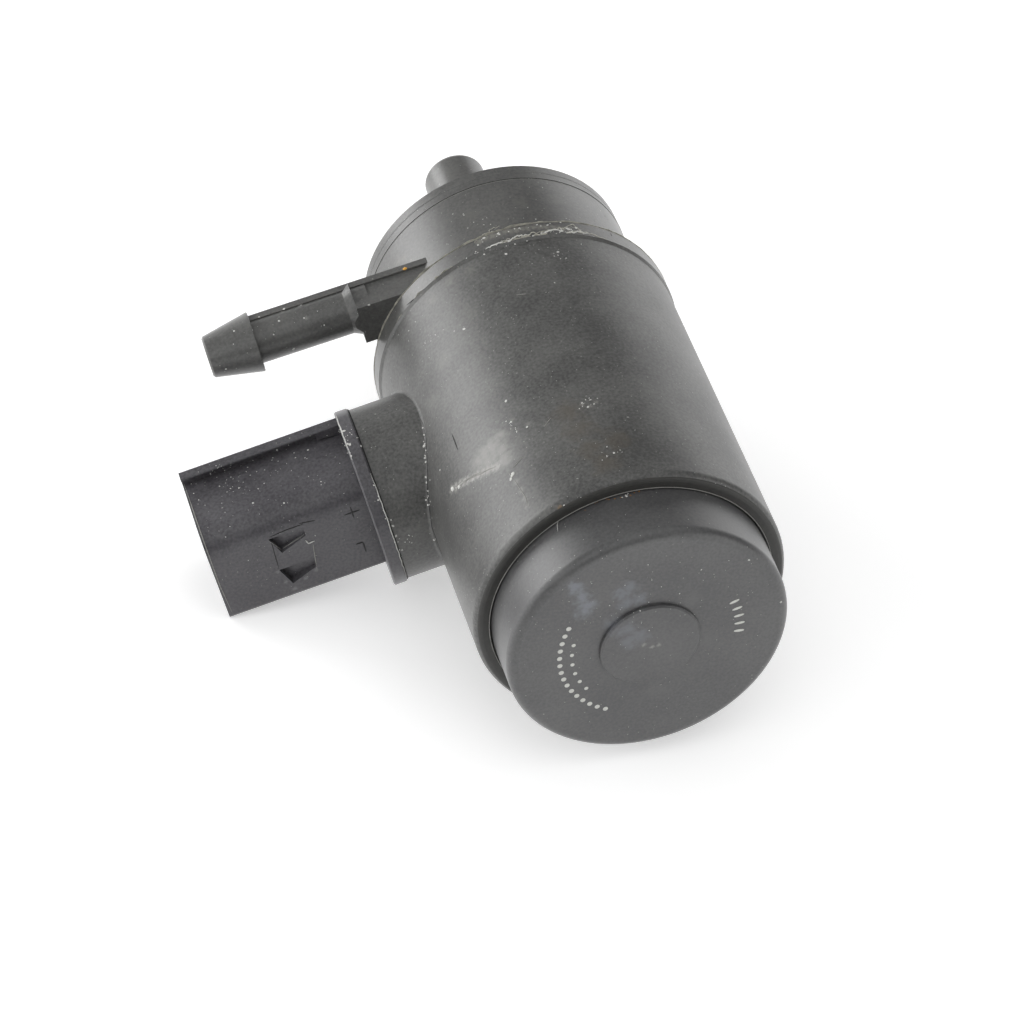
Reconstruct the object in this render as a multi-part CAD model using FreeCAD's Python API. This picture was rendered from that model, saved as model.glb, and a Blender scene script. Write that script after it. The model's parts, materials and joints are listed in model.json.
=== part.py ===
import FreeCAD, Part
import math
import os

from FreeCAD import Vector

# A windshield washer pump, lying on its side as it comes to rest on a bench.
# It is modelled in the pump's own frame and turned into place at the end:
#   +Y  along the motor shaft, from the end cap to the inlet, with Y = 0 at the housing's open rim
#   -X  the way the connector and the outlet point
#   +Z  square to both
# All sizes are millimetres. A radius ends in _r, a wall in _wall, a clearance in _gap.

# Motor housing: a moulded tube with a round neck for the connector
body_length = 42.5
body_wall = 1.85
rim_round = 0.9
rim_recess_depth = 1.2
rim_recess_width = 0.5
neck_from_head = 13.4
neck_r = 10.25
neck_wall = 1.85
neck_length = 4.4
neck_fillet = 0.4
can_rib_thickness = 1.2
can_rib_margin = 1.0

# End cap over the motor
cap_height = 7.2
cap_face = 2.0
cap_wall = 1.6
cap_plug = 3.5
cap_round = 1.1
cap_disc_r = 5.75
cap_disc_height = 0.5
cap_rib_thickness = 1.2
cap_rib_length = 2.15
seal_groove_width = 1.2
seal_groove_depth = 1.1
cap_groove_from_step = 0.4

# Pump head: weld flange, impeller chamber and outlet, moulded as one
flange_lip = 0.2
flange_height = 2.4
head_step = 2.0
head_height = 12.3
head_spigot = 3.0
head_spigot_wall = 3.6

# Outlet: a hose barb that leaves the chamber along its wall, turned a little round the shaft
outlet_turn_deg = 1.5
outlet_from_flange = 2.8
outlet_offset = 11.05
outlet_bore_r = 1.6
outlet_bore_margin = 0.15
outlet_wall = 1.05
outlet_reach = 35.9
barb_length = 5.95
barb_tip_wall = 0.86
barb_step = 0.98
block_beyond_head = 1.8
block_rise = 2.4
block_drop = 3.1
outlet_flare_length = 1.0
outlet_rib_thickness = 0.9
outlet_rib_from_axis = 0.75
outlet_rib_rise = 2.7

# Pump cover with the inlet
cover_height = 1.5
cover_plug = 2.0
cover_rim = 2.6
inlet_r = 3.73
inlet_wall = 1.43
inlet_length = 18.8
inlet_round = 0.8

# Connector: a round flange welded on the neck, and a shroud for a two-pin plug
socket_lip = 0.3
socket_flange = 1.6
socket_plug = 5.0
socket_groove_from_flange = 2.0
shroud_length = 19.1
shroud_width = 10.8
shroud_height = 13.0
shroud_aside = 0.3
shroud_raise = 0.3
shroud_wall = 1.2
shroud_floor = 0.8
shroud_corner = 0.8
shroud_shoulder = 3.0
rail_width = 1.35
rail_rise = 1.55
rail_lip = 0.3
rail_undercut = 0.7
rail_end = 2.8
catch_from_mouth = 7.2
catch_length = 4.2
catch_height = 2.75
catch_slant = 1.0
catch_pitch = 5.2
catch_above_axis = 1.35
catch_depth = 1.2
catch_shallow_depth = 0.45

# Connector pins and the leads to the brushes
pin_pitch = 5.0
pin_width = 2.8
pin_thickness = 0.8
pin_below_mouth = 6.5
pin_taper = 1.2
pin_shoulder_gap = 1.0
lead_width = 2.0
lead_thickness = 0.4
lead_from_can = 1.0
lead_past_pin = 1.2
lead_foot = 2.0

# Motor: its radii build up from the shaft, and the housing takes its radius from them
shaft_r = 1.15
core_hub_wall = 2.25
coil_window = 4.4
pole_tip_thickness = 2.4
magnet_thickness = 2.3
can_wall = 0.9
can_room = 2.25
can_boss_height = 1.8
bearing_wall = 2.21
bearing_length = 3.6
bearing_boss_wall = 0.9
pole_neck_width = 3.2
pole_gap_deg = 22.0
coil_bulge = 2.2
coil_width = 1.7
coil_from_hub = 1.0
coil_from_commutator = 1.2
coil_round = 0.6
rotor_spacer_length = 4.4
rotor_spacer_wall = 1.05
magnet_span_deg = 140.0
magnet_overhang = 2.0
magnet_spring_thickness = 0.8
magnet_spring_slack_deg = 0.4
commutator_hub_wall = 1.05
commutator_wall = 0.8
commutator_length = 3.8
commutator_slit = 0.5
brush_width = 2.5
brush_length = 3.4
brush_height = 3.0
brush_from_commutator_end = 0.3
brush_strip = 0.3
brush_tail = 2.6
guide_thickness = 1.0
guide_from_commutator = 1.2
carrier_flange = 1.2
carrier_plug = 2.0
carrier_boss = 1.0
carrier_from_cap = 0.1
washer_wall = 1.45
washer_thickness = 0.4

# Shaft seal and impeller
seal_wall = 3.35
seal_body = 1.3
seal_length = 1.8
seal_lip = 0.5
seal_taper = 0.3
retainer_thickness = 0.8
impeller_tip_gap = 1.05
impeller_cover_gap = 1.1
impeller_hub_wall = 1.45
impeller_disc = 1.0
blade_thickness = 0.9
blade_count = 6
blade_sweep_deg = 28.0

# Clearances
slip_gap = 0.05
running_gap = 0.04
magnet_gap = 0.46
air_gap = 0.4
axial_play = 0.1
seal_squash = 0.05

# Radii that follow from the sizes above
core_hub_r = shaft_r + core_hub_wall
core_r = core_hub_r + coil_window + pole_tip_thickness
magnet_inner_r = core_r + magnet_gap
magnet_outer_r = magnet_inner_r + magnet_thickness
can_inner_r = magnet_outer_r + running_gap
can_r = can_inner_r + can_wall
bore_r = can_r + can_room
body_r = bore_r + body_wall
cap_r = bore_r - slip_gap
flange_r = body_r + flange_lip
head_r = body_r - head_step
cover_plug_r = head_r - cover_rim
inlet_bore_r = inlet_r - inlet_wall
bearing_r = shaft_r + running_gap + bearing_wall
washer_r = shaft_r + washer_wall
commutator_r = shaft_r + commutator_hub_wall + commutator_wall
seal_r = shaft_r + seal_wall
outlet_tube_r = outlet_bore_r + outlet_wall
barb_r = outlet_tube_r + barb_step
barb_tip_r = outlet_bore_r + barb_tip_wall
chamber_r = outlet_offset + outlet_bore_r + outlet_bore_margin
impeller_r = chamber_r - impeller_tip_gap
impeller_hub_r = shaft_r + impeller_hub_wall
socket_flange_r = neck_r + socket_lip

# Places along the shaft, and out from it, that follow from the sizes above
head_start = body_length + flange_height
head_end = head_start + head_height
cover_end = head_end + cover_height
inlet_end = cover_end + inlet_length
can_front = body_length - head_spigot
carrier_back = cap_plug + carrier_flange + carrier_from_cap
can_back = carrier_back + carrier_flange
carrier_front = can_back + carrier_plug
seal_start = body_length + retainer_thickness
seal_end = seal_start + seal_length
outlet_y = head_start + outlet_from_flange
chamber_start = outlet_y - outlet_bore_r - outlet_bore_margin
chamber_end = head_end - cover_plug
block_reach = head_r + block_beyond_head
neck_y = body_length - neck_from_head
neck_reach = body_r + neck_length
front_bearing_end = can_front + can_boss_height - axial_play
front_bearing_start = front_bearing_end - bearing_length
commutator_start = carrier_front + axial_play + washer_thickness
commutator_end = commutator_start + commutator_length
core_start = commutator_end + coil_bulge + coil_from_commutator
front_washer_start = front_bearing_start - axial_play - washer_thickness
core_end = front_washer_start - rotor_spacer_length
impeller_start = chamber_start + air_gap
shaft_start = carrier_back - carrier_boss
impeller_end = chamber_end - impeller_cover_gap
shaft_end = impeller_end
mouth = neck_reach + socket_flange + shroud_length
shroud_near = shroud_width / 2 - shroud_aside
shroud_far = shroud_width / 2 + shroud_aside
shroud_top = shroud_height / 2 + shroud_raise
shroud_bottom = shroud_height / 2 - shroud_raise
brush_start = commutator_start + brush_from_commutator_end

# The pump rests on the weld flange and on the lower edge of the connector's mouth
rest_tilt = math.asin(flange_r / math.hypot(mouth, shroud_bottom)) - math.atan2(shroud_bottom, mouth)

Y_AXIS = Vector(0, 1, 0)
X_AXIS = Vector(1, 0, 0)


def outline(corners, place):
    """Closed wire through (a, b, size) corners: above 0 is a rounding's radius, below 0 a chamfer."""
    count = len(corners)
    turns = []
    for i, (a, b, size) in enumerate(corners):
        here = Vector(a, b, 0)
        before = Vector(corners[i - 1][0], corners[i - 1][1], 0)
        after = Vector(corners[(i + 1) % count][0], corners[(i + 1) % count][1], 0)
        if size == 0:
            turns.append((here, None, here))
            continue
        back = (before - here).normalize()
        ahead = (after - here).normalize()
        if size < 0:
            turns.append((here - back * size, None, here - ahead * size))
            continue
        half = back.getAngle(ahead) / 2
        reach = size / math.tan(half)
        middle = here + (back + ahead).normalize() * (size / math.sin(half) - size)
        turns.append((here + back * reach, middle, here + ahead * reach))
    edges = []
    for i, (start, middle, stop) in enumerate(turns):
        if middle is not None:
            edges.append(Part.Arc(place(start), place(middle), place(stop)).toShape())
        elif (start - stop).Length > 1e-6:
            edges.append(Part.LineSegment(place(start), place(stop)).toShape())
        following = turns[(i + 1) % count][0]
        if (stop - following).Length > 1e-6:
            edges.append(Part.LineSegment(place(stop), place(following)).toShape())
    return Part.Wire(edges)


def solid_of(face, sweep):
    """Sweep a face and make sure that the solid's faces point outwards."""
    shape = sweep(face)
    if shape.Volume < 0:
        shape.reverse()
    return shape


def turned(corners):
    """Turned piece round the shaft: corners are (y, radius from the shaft, corner rounding)."""
    wire = outline(corners, lambda p: Vector(p.y, p.x, 0))
    return solid_of(Part.Face(wire), lambda f: f.revolve(Vector(), Y_AXIS, 360))


def tube(y0, y1, inner, outer):
    """Plain ring or disc round the shaft."""
    return turned([(y0, inner, 0), (y0, outer, 0), (y1, outer, 0), (y1, inner, 0)])


def turned_on_neck(corners):
    """Turned piece round the connector's axis: corners are (reach from the shaft, radius, rounding)."""
    wire = outline(corners, lambda p: Vector(-p.x, neck_y + p.y, 0))
    return solid_of(Part.Face(wire), lambda f: f.revolve(Vector(0, neck_y, 0), X_AXIS, 360))


def neck_tube(reach0, reach1, inner, outer):
    """Plain ring or disc round the connector's axis."""
    return turned_on_neck([(reach0, inner, 0), (reach0, outer, 0), (reach1, outer, 0), (reach1, inner, 0)])


def turned_on_outlet(corners):
    """Turned piece round the outlet's axis: corners are (reach from the shaft, radius, rounding)."""
    wire = outline(corners, lambda p: Vector(-p.x, outlet_y + p.y, outlet_offset))
    centre = Vector(0, outlet_y, outlet_offset)
    return solid_of(Part.Face(wire), lambda f: f.revolve(centre, X_AXIS, 360))


def block(low, high):
    """Box between two opposite corners."""
    size = [b - a for a, b in zip(low, high)]
    return Part.makeBox(size[0], size[1], size[2], Vector(*low))


def along_neck(corners, reach0, reach1):
    """Straight bar along the connector's axis: corners are (y from the axis, z, rounding)."""
    wire = outline(corners, lambda p: Vector(-reach0, neck_y + p.x, p.y))
    return solid_of(Part.Face(wire), lambda f: f.extrude(Vector(reach0 - reach1, 0, 0)))


def around_shaft(shape, count, start_deg=0.0):
    """Copies of a shape, evenly spaced round the shaft."""
    copies = []
    for i in range(count):
        one = shape.copy()
        one.rotate(Vector(), Y_AXIS, start_deg + 360.0 * i / count)
        copies.append(one)
    return copies


def joined(first, others):
    """Fuse solids into one and merge the faces that lie in line."""
    return first.fuse(others).removeSplitter()


def motor_housing():
    """Tube for the motor, with the neck for the connector and ribs that centre the can."""
    shell = turned([
        (0, bore_r + rim_recess_width, 0),
        (0, body_r, rim_round),
        (body_length, body_r, 0),
        (body_length, bore_r, 0),
        (rim_recess_depth, bore_r, 0),
        (rim_recess_depth, bore_r + rim_recess_width, 0),
    ])
    neck = neck_tube(bore_r - body_wall, neck_reach, 0, neck_r)
    neck = neck.cut(tube(-1, body_length + 1, 0, bore_r))
    outside = joined(shell, [neck])
    meeting = [e for e in outside.Edges if runs_round_neck(e)]
    outside = outside.makeFillet(neck_fillet, meeting)
    rib = block((can_r + slip_gap, can_back + can_rib_margin, -can_rib_thickness / 2),
                (bore_r + body_wall / 2, can_front - can_rib_margin, can_rib_thickness / 2))
    ribs = around_shaft(rib, 5, 60.0)
    ribs = [r for r in ribs if r.BoundBox.XMin > -neck_r]
    outside = joined(outside, ribs)
    return outside.cut(neck_tube(can_r, neck_reach + 1, 0, neck_r - neck_wall))


def runs_round_neck(edge):
    """True for the edge where the neck's outside meets the tube's outside."""
    points = edge.discretize(12)
    on_neck = all(abs(math.hypot(p.y - neck_y, p.z) - neck_r) < 0.02 for p in points)
    on_body = all(abs(math.hypot(p.x, p.z) - body_r) < 0.02 for p in points)
    return on_neck and on_body


def end_cap():
    """Cup that closes the motor end, with a raised disc outside and ribs that press on the carrier."""
    groove_r = cap_r - seal_groove_depth
    groove_start = rim_recess_depth + cap_groove_from_step
    groove_end = groove_start + seal_groove_width
    cup = turned([
        (-cap_height, 0, 0),
        (-cap_height, cap_disc_r, 0),
        (-cap_height, cap_r, cap_round),
        (groove_start, cap_r, 0),
        (groove_start, groove_r, 0),
        (groove_end, groove_r, 0),
        (groove_end, cap_r, 0),
        (cap_plug, cap_r, 0),
        (cap_plug, cap_r - cap_wall, 0),
        (cap_face - cap_height, cap_r - cap_wall, 0),
        (cap_face - cap_height, 0, 0),
    ])
    disc = turned([
        (-cap_height - cap_disc_height, 0, 0),
        (-cap_height - cap_disc_height, cap_disc_r, -0.2),
        (-cap_height + 0.5, cap_disc_r, 0),
        (-cap_height + 0.5, 0, 0),
    ])
    rib_outer = cap_r - cap_wall + slip_gap
    rib = block((rib_outer - cap_rib_length, cap_face - cap_height - cap_face / 4, -cap_rib_thickness / 2),
                (rib_outer, carrier_back, cap_rib_thickness / 2))
    ribs = around_shaft(rib, 6, 30.0)
    trim = tube(cap_plug, carrier_back + 1, can_r, body_r)
    ribs = [r.cut(trim) for r in ribs]
    return joined(cup, [disc] + ribs)


def ring_seal(groove_start, outer):
    """Corners of a rubber ring in its groove, squeezed to a square with its corners off."""
    inner = outer - seal_groove_depth
    start = groove_start + seal_squash
    stop = groove_start + seal_groove_width - seal_squash
    corner = -seal_groove_depth / 4
    return [(start, inner, corner), (start, outer, corner), (stop, outer, corner), (stop, inner, corner)]


def cap_seal():
    """Ring in the groove of the end cap's plug."""
    return turned(ring_seal(rim_recess_depth + cap_groove_from_step, cap_r))


def pump_head():
    """Weld flange, chamber wall and outlet as one moulding."""
    wall = turned([
        (can_front, bore_r - head_spigot_wall, 0),
        (can_front, bore_r - slip_gap, 0),
        (body_length, bore_r - slip_gap, 0),
        (body_length, flange_r, 0),
        (head_start, flange_r, -0.25),
        (head_start, head_r, 0),
        (head_end, head_r, 0),
        (head_end, 0, 0),
        (body_length, 0, 0),
        (body_length, bore_r - head_spigot_wall, 0),
    ])
    barb_start = outlet_reach - barb_length
    rib_y = outlet_y + outlet_rib_from_axis
    rib_end = rib_y + outlet_rib_thickness
    root = block((-block_reach, head_start, outlet_offset - block_drop),
                 (0, rib_end, outlet_offset + block_rise))
    rib = block((-barb_start, rib_y, outlet_offset), (0, rib_end, outlet_offset + outlet_rib_rise))
    flare = turned_on_outlet([
        (block_reach, 0, 0),
        (block_reach, block_drop, 0),
        (block_reach + outlet_flare_length, outlet_tube_r, 0),
        (block_reach + outlet_flare_length, 0, 0),
    ])
    flare = flare.common(block((-outlet_reach, head_start, 0), (0, head_end, 2 * body_r)))
    pipe = turned_on_outlet([
        (head_r, 0, 0),
        (head_r, outlet_tube_r, 0),
        (barb_start, outlet_tube_r, 0),
        (barb_start, barb_r, -0.1),
        (outlet_reach, barb_tip_r, -0.2),
        (outlet_reach, 0, 0),
    ])
    head = joined(wall, [root, rib, flare, pipe])
    passage = turned_on_outlet([(0, 0, 0), (0, outlet_bore_r, 0),
                                (outlet_reach + 1, outlet_bore_r, 0), (outlet_reach + 1, 0, 0)])
    chamber = tube(chamber_start, chamber_end, 0, chamber_r)
    cover_seat = tube(head_end - cover_plug, head_end + 1, 0, cover_plug_r + slip_gap)
    seal_pocket = tube(body_length - 1, seal_end, 0, seal_r)
    shaft_hole = tube(seal_end - 0.5, chamber_start + 0.5, 0, shaft_r + air_gap)
    head = head.cut([chamber, cover_seat, seal_pocket, shaft_hole, passage])
    head.rotate(Vector(), Y_AXIS, outlet_turn_deg)
    return head


def pump_cover():
    """Disc that closes the chamber, with the inlet spigot on the shaft's axis."""
    return turned([
        (head_end - cover_plug, inlet_bore_r, 0),
        (head_end - cover_plug, cover_plug_r, 0),
        (head_end, cover_plug_r, 0),
        (head_end, head_r, -0.1),
        (cover_end, head_r, -0.3),
        (cover_end, inlet_r, 0.5),
        (inlet_end, inlet_r, inlet_round),
        (inlet_end, inlet_bore_r, -0.25),
    ])


def impeller():
    """Open impeller: a disc and hub with swept blades."""
    disc = tube(impeller_start, impeller_start + impeller_disc, 0, impeller_r)
    hub = tube(impeller_start, impeller_end, 0, impeller_hub_r)
    sweep = math.radians(blade_sweep_deg)
    root = Vector(impeller_hub_r - 0.4, 0, 0)
    tip = Vector(impeller_r * math.cos(sweep), impeller_r * math.sin(sweep), 0) * 0.985
    middle = Vector(0.55 * impeller_r, 0.13 * impeller_r, 0)
    blade = blade_between(root, middle, tip, impeller_start + impeller_disc / 2, impeller_end)
    wheel = joined(disc, [hub] + around_shaft(blade, blade_count))
    return wheel.cut(tube(impeller_start - 1, impeller_end + 1, 0, shaft_r))


def blade_between(root, middle, tip, y0, y1):
    """Curved blade of even thickness, standing along the shaft."""
    def side(offset):
        across = (tip - root).cross(Vector(0, 0, 1)).normalize() * offset
        return [p + across for p in (root, middle, tip)]
    near = side(-blade_thickness / 2)
    far = side(blade_thickness / 2)

    def place(p):
        return Vector(p.x, y0, p.y)

    edges = [
        Part.Arc(*[place(p) for p in near]).toShape(),
        Part.LineSegment(place(near[2]), place(far[2])).toShape(),
        Part.Arc(*[place(p) for p in far[::-1]]).toShape(),
        Part.LineSegment(place(far[0]), place(near[0])).toShape(),
    ]
    return solid_of(Part.Face(Part.Wire(edges)), lambda f: f.extrude(Vector(0, y1 - y0, 0)))


def motor_shaft():
    """Ground steel shaft with a small chamfer at each end."""
    return turned([
        (shaft_start, 0, 0),
        (shaft_start, shaft_r, -shaft_r / 4),
        (shaft_end, shaft_r, -shaft_r / 4),
        (shaft_end, 0, 0),
    ])


def shaft_seal():
    """Rubber seal in its pocket, with one lip on the shaft."""
    lip_r = shaft_r + running_gap
    return turned([
        (seal_start, seal_r - seal_body, 0),
        (seal_start, seal_r, 0),
        (seal_end, seal_r, 0),
        (seal_end, lip_r, 0),
        (seal_end - seal_lip, lip_r, 0),
        (seal_end - seal_lip - seal_taper, seal_r - seal_body, 0),
    ])


def motor_can():
    """Drawn steel can, open to the brush carrier, with a boss for the front bearing."""
    boss_r = bearing_r + bearing_boss_wall
    return turned([
        (can_back, can_inner_r, 0),
        (can_back, can_r, 0),
        (can_front, can_r, -can_wall),
        (can_front, boss_r, 0),
        (can_front + can_boss_height, boss_r, -0.3),
        (can_front + can_boss_height, bearing_r, 0),
        (can_front - can_wall, bearing_r, 0),
        (can_front - can_wall, can_inner_r, -can_wall / 2),
    ])


def magnet(side_deg):
    """Arc magnet against the can's wall; side_deg is the direction of its middle."""
    arc = arc_block(magnet_inner_r, magnet_outer_r, core_start - magnet_overhang,
                    core_end + magnet_overhang, magnet_span_deg)
    arc.rotate(Vector(), Y_AXIS, side_deg - magnet_span_deg / 2)
    return arc


def arc_block(inner, outer, y0, y1, span_deg):
    """Part of a ring round the shaft, from the XY plane through span_deg."""
    corners = [(y0, inner, 0), (y0, outer, 0), (y1, outer, 0), (y1, inner, 0)]
    wire = outline(corners, lambda p: Vector(p.y, p.x, 0))
    return solid_of(Part.Face(wire), lambda f: f.revolve(Vector(), Y_AXIS, span_deg))


def magnet_spring(side_deg):
    """Thin spring steel arc that spreads the two magnets apart."""
    span = 180.0 - magnet_span_deg - magnet_spring_slack_deg
    arc = arc_block(magnet_outer_r - magnet_spring_thickness, magnet_outer_r, core_start, core_end, span)
    arc.rotate(Vector(), Y_AXIS, side_deg - span / 2)
    return arc


def armature_core():
    """Three-pole stack of laminations on the shaft."""
    hub = tube(core_start, core_end, 0, core_hub_r)
    tip_span = 120.0 - pole_gap_deg
    tip = arc_block(core_r - pole_tip_thickness, core_r, core_start, core_end, tip_span)
    tip.rotate(Vector(), Y_AXIS, -tip_span / 2)
    neck = block((0, core_start, -pole_neck_width / 2),
                 (core_r - pole_tip_thickness / 2, core_end, pole_neck_width / 2))
    parts = around_shaft(tip, 3) + around_shaft(neck, 3)
    core = joined(hub, parts)
    return core.cut(tube(core_start - 1, core_end + 1, 0, shaft_r))


def armature_coil(index):
    """Copper coil wound round one pole."""
    inner_half = pole_neck_width / 2 + slip_gap
    outer_half = inner_half + coil_width
    tip_inner = core_r - pole_tip_thickness
    outer_reach = math.sqrt((tip_inner - 2 * slip_gap) ** 2 - outer_half ** 2)
    outside = block((core_hub_r + coil_from_hub, core_start - coil_bulge, -outer_half),
                    (outer_reach, core_end + coil_bulge, outer_half))
    outside = outside.makeFillet(coil_round, [e for e in outside.Edges if runs_out(e)])
    window = block((0, core_start - slip_gap, -inner_half),
                   (core_r, core_end + slip_gap, inner_half))
    coil = outside.cut(window)
    coil.rotate(Vector(), Y_AXIS, 120.0 * index)
    return coil


def runs_out(edge):
    """True for a straight edge that points away from the shaft along X."""
    box = edge.BoundBox
    return box.XLength > box.YLength + box.ZLength


def commutator_segments():
    """Three copper segments with slits between them."""
    ring = tube(commutator_start, commutator_end, commutator_r - commutator_wall, commutator_r)
    slit = block((0, commutator_start - 1, -commutator_slit / 2),
                 (commutator_r + 1, commutator_end + 1, commutator_slit / 2))
    return ring.cut(around_shaft(slit, 3, 60.0))


def brush_carrier():
    """Plastic plate that closes the can and holds the rear bearing, brushes and strips."""
    boss_r = bearing_r + bearing_boss_wall
    plate = turned([
        (carrier_back - carrier_boss, bearing_r, 0),
        (carrier_back - carrier_boss, boss_r, 0),
        (carrier_back, boss_r, 0),
        (carrier_back, can_r, 0),
        (can_back, can_r, 0),
        (can_back, can_inner_r - slip_gap, 0),
        (carrier_front, can_inner_r - slip_gap, 0),
        (carrier_front, bearing_r, 0),
    ])
    guides = []
    slots = []
    for side in (1, -1):
        for edge in (1, -1):
            x0 = edge * (brush_width / 2 + slip_gap)
            x1 = x0 + edge * guide_thickness
            z0 = side * (commutator_r + guide_from_commutator)
            z1 = side * (commutator_r + brush_length)
            guides.append(block((min(x0, x1), carrier_front - carrier_plug / 4, min(z0, z1)),
                                (max(x0, x1), brush_start + brush_height - brush_strip, max(z0, z1))))
        slots.append(strip_slot(side))
    plate = joined(plate, guides)
    return plate.cut(slots)


def strip_place(side):
    """Inner and outer Z of a brush strip's upright, just behind its brush."""
    inner = commutator_r + running_gap + brush_length
    return side * inner, side * (inner + brush_strip)


def strip_slot(side):
    """Slot in the carrier for a brush strip, with a little room."""
    z0, z1 = sorted(strip_place(side))
    half = brush_width / 2 + slip_gap
    return block((-half, carrier_back - 1, z0 - slip_gap), (half, carrier_front + 1, z1 + slip_gap))


def brush(side):
    """Carbon brush, facing the commutator."""
    low, high = sorted((side * (commutator_r + running_gap), strip_place(side)[0]))
    body = block((-brush_width / 2, brush_start, low), (brush_width / 2, brush_start + brush_height, high))
    wear = tube(brush_start - 1, brush_start + brush_height + 1, 0, commutator_r + running_gap)
    return body.cut(wear)


def brush_spring(side):
    """Bent bronze strip that carries a brush; its tail is folded on the back of the carrier."""
    z0, z1 = sorted(strip_place(side))
    half = brush_width / 2
    upright = block((-half, carrier_back - brush_strip, z0), (half, brush_start + brush_height, z1))
    tail_end = side * (abs(strip_place(side)[1]) + brush_tail)
    low, high = sorted((strip_place(side)[0], tail_end))
    tail = block((-half, carrier_back - brush_strip, low), (half, carrier_back, high))
    return joined(upright, [tail])


def lead(side):
    """Bronze strip from a brush spring's tail, over the can's edge and along it to the connector pin."""
    y1 = carrier_back - brush_strip
    y0 = y1 - lead_thickness
    pin_z = side * pin_pitch / 2
    tail_z = side * (abs(strip_place(side)[1]) + brush_tail / 2)
    outer_x = -pin_start()
    across = bar_between((0, tail_z), (outer_x + lead_thickness, pin_z), y0, y1)
    half = lead_width / 2
    up = block((outer_x, y0, pin_z - half),
               (outer_x + lead_thickness, neck_y + lead_past_pin, pin_z + half))
    foot = block((outer_x, y0, pin_z - half), (outer_x + lead_foot, y1, pin_z + half))
    return joined(up, [foot, across])


def bar_between(start, stop, y0, y1):
    """Flat strip from one (x, z) point to another, lying square to the shaft."""
    a = Vector(start[0], 0, start[1])
    b = Vector(stop[0], 0, stop[1])
    along = (b - a).normalize()
    across = along.cross(Y_AXIS) * (lead_width / 2)
    ends = [a - across, a + across, b + across, b - across]
    corners = [(p.x, p.z, 0) for p in ends]
    wire = outline(corners, lambda p: Vector(p.x, y0, p.y))
    return solid_of(Part.Face(wire), lambda f: f.extrude(Vector(0, y1 - y0, 0)))


def pin_start():
    """Reach at which a pin sits on its lead."""
    return can_r + lead_from_can


def pin_shoulder():
    """Reach at which a pin widens, just inside the socket's plug."""
    return neck_reach - socket_plug - pin_shoulder_gap


def connector_pin(side):
    """Flat pin, narrow inside the neck, with a tapered tip in the shroud."""
    z = side * pin_pitch / 2
    tip = mouth - pin_below_mouth
    half = pin_width / 2
    half_tail = lead_width / 2
    shoulder = pin_shoulder()
    taper = tip - pin_taper
    half_tip = half / 2
    corners = [
        (pin_start(), z - half_tail, 0), (shoulder, z - half_tail, 0), (shoulder, z - half, 0),
        (taper, z - half, 0), (tip, z - half_tip, 0), (tip, z + half_tip, 0),
        (taper, z + half, 0), (shoulder, z + half, 0), (shoulder, z + half_tail, 0),
        (pin_start(), z + half_tail, 0),
    ]
    y0 = neck_y - pin_thickness / 2
    wire = outline(corners, lambda p: Vector(-p.x, y0, p.y))
    return solid_of(Part.Face(wire), lambda f: f.extrude(Vector(0, pin_thickness, 0)))


def shroud_section(inset):
    """Corners of the shroud's section, seen along its axis: a soft shoulder on the upper near side."""
    near = inset - shroud_near
    far = shroud_far - inset
    low = inset - shroud_bottom
    high = shroud_top - inset
    corner = max(shroud_corner - inset, 0.3)
    shoulder = max(shroud_shoulder - inset, 0.3)
    return [(near, low, corner), (far, low, corner), (far, high, corner), (near, high, shoulder)]


def socket_plug_r():
    """Radius of the socket's plug, a slip fit in the neck."""
    return neck_r - neck_wall - slip_gap


def connector_socket():
    """Plug in the neck, round flange and shroud, moulded as one round the two pins."""
    plug_start = neck_reach - socket_plug
    flange_end = neck_reach + socket_flange
    plug_r = socket_plug_r()
    groove_r = plug_r - seal_groove_depth
    groove_end = neck_reach - socket_groove_from_flange
    groove_start = groove_end - seal_groove_width
    core = turned_on_neck([
        (plug_start, 0, 0),
        (plug_start, plug_r, -0.4),
        (groove_start, plug_r, 0),
        (groove_start, groove_r, 0),
        (groove_end, groove_r, 0),
        (groove_end, plug_r, 0),
        (neck_reach, plug_r, 0),
        (neck_reach, socket_flange_r, -0.15),
        (flange_end, socket_flange_r, -0.15),
        (flange_end, 0, 0),
    ])
    shroud = along_neck(shroud_section(0), flange_end - 0.5, mouth)
    rail_top = shroud_top + rail_rise
    rail_near = shroud_far - rail_width
    rail = along_neck([
        (rail_near, shroud_top - 1.0, 0),
        (shroud_far, shroud_top - 1.0, 0),
        (shroud_far, rail_top, 0.2),
        (rail_near, rail_top, -0.1),
    ], flange_end - 0.5, mouth)
    socket = joined(core, [shroud, rail])
    undercut = along_neck([
        (rail_near - 1.0, shroud_top, 0),
        (rail_near + rail_undercut, shroud_top, 0),
        (rail_near + rail_undercut, rail_top - rail_lip, 0),
        (rail_near - 1.0, rail_top - rail_lip, 0),
    ], flange_end + rail_end, mouth + 1)
    cavity = along_neck(shroud_section(shroud_wall), flange_end + shroud_floor, mouth + 1)
    slots = [pin_slot(side) for side in (1, -1)]
    return socket.cut([undercut, cavity] + catch_pockets() + slots).removeSplitter()


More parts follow.
